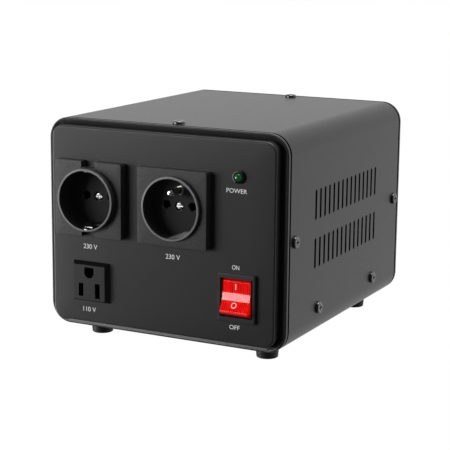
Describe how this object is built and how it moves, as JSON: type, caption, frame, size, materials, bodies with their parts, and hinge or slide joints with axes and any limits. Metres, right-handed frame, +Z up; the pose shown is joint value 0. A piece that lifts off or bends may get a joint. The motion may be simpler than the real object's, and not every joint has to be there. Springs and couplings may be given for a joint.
{
  "type": "voltage converter",
  "caption": "Bench voltage converter: steel case on rubber feet with round and flat-blade socket outlets, a green lamp and a lit rocker switch; inlet, breaker and selector at the rear.",
  "frame": {"origin": "under the middle of the whole part, on the surface that the feet stand on", "axes": "+X to the right seen from the front, +Y from the front panel to the rear, +Z up"},
  "size_m": [0.1788, 0.2254, 0.1524],
  "materials": {
    "case_paint": "satin fine-textured dark grey paint",
    "panel_plastic": "satin black-grey moulding",
    "outlet_plastic": "black moulding",
    "foot_rubber": "matt black rubber",
    "pad_rubber": "matt",
    "black_screw_steel": "blackened",
    "zinc_steel": "zinc plated",
    "plain_steel": "bright",
    "nickel_plate": "nickel plated",
    "brass": "plain",
    "green_lens": "translucent green",
    "red_rocker": "translucent red",
    "lamp_glass": "clear",
    "button_plastic": "black",
    "red_slider": "red",
    "core_steel": "wound strip",
    "winding_tape": "amber polyester tape over copper",
    "block_plastic": "off-white moulding",
    "lead_sleeve": "brown insulation over copper",
    "earth_lead_sleeve": "green and yellow insulation over copper"
  },
  "bodies": {
    "case": {"base_tray": "zinc_steel", "blade_outlet_back": "outlet_plastic", "blade_outlet_body": "outlet_plastic", "blade_outlet_contacts": "brass", "breaker_body": "outlet_plastic", "breaker_nut": "plain_steel", "case_screws": "black_screw_steel", "clamp_bolt": "plain_steel", "clamp_nut": "plain_steel", "clamp_washer": "zinc_steel", "cover_shell": "case_paint", "earth_lead": "earth_lead_sleeve", "earth_nut": "plain_steel", "earth_stud": "plain_steel", "foot_front_left": "foot_rubber", "foot_front_right": "foot_rubber", "foot_nuts": "plain_steel", "foot_rear_left": "foot_rubber", "foot_rear_right": "foot_rubber", "foot_screws": "plain_steel", "front_panel": "panel_plastic", "lamp_bezel": "outlet_plastic", "lamp_lens": "green_lens", "lamp_nut": "plain_steel", "output_leads": "lead_sleeve", "panel_inserts": "brass", "power_inlet_body": "outlet_plastic", "power_inlet_pins": "nickel_plate", "rear_panel": "panel_plastic", "selector_body": "outlet_plastic", "small_screws": "black_screw_steel", "socket_e_back": "outlet_plastic", "socket_e_body": "outlet_plastic", "socket_e_contacts": "brass", "socket_e_earth_pin": "nickel_plate", "socket_e_screw": "plain_steel", "socket_f_back": "outlet_plastic", "socket_f_body": "outlet_plastic", "socket_f_contacts": "brass", "socket_f_earth_clips": "nickel_plate", "socket_f_screw": "plain_steel", "supply_leads": "lead_sleeve", "switch_housing": "outlet_plastic", "switch_terminals": "brass", "terminal_block": "block_plastic", "terminal_screws": "plain_steel", "transformer_core": "core_steel", "transformer_leads": "lead_sleeve", "transformer_pads": "pad_rubber", "transformer_winding": "winding_tape", "tray_nuts": "plain_steel"},
    "rocker": {"switch_rocker": "red_rocker", "switch_lamp": "lamp_glass"},
    "contact_arms": {"switch_contact_arms": "brass"},
    "reset_button": {"breaker_button": "button_plastic"},
    "selector_knob": {"selector_slider": "red_slider"}
  },
  "joints": [
    {"name": "switch_rocker_hinge", "type": "hinge", "parent": "case", "child": "rocker", "pos_m": [0.0564, -0.1007, 0.0456], "axis": [1, 0, 0], "range_deg": [0, 28]},
    {"name": "switch_contact_hinge", "type": "hinge", "parent": "case", "child": "contact_arms", "pos_m": [0.0564, -0.0892, 0.0456], "axis": [1, 0, 0], "range_deg": [-14, 0]},
    {"name": "breaker_button_slide", "type": "slide", "parent": "case", "child": "reset_button", "axis": [0, 1, 0], "range_m": [0, 0.004]},
    {"name": "selector_slide", "type": "slide", "parent": "case", "child": "selector_knob", "axis": [1, 0, 0], "range_m": [0, 0.0064]}
  ],
  "couplings": [
    {"joint": "switch_contact_hinge", "follows": "switch_rocker_hinge", "ratio": -0.5}
  ]
}
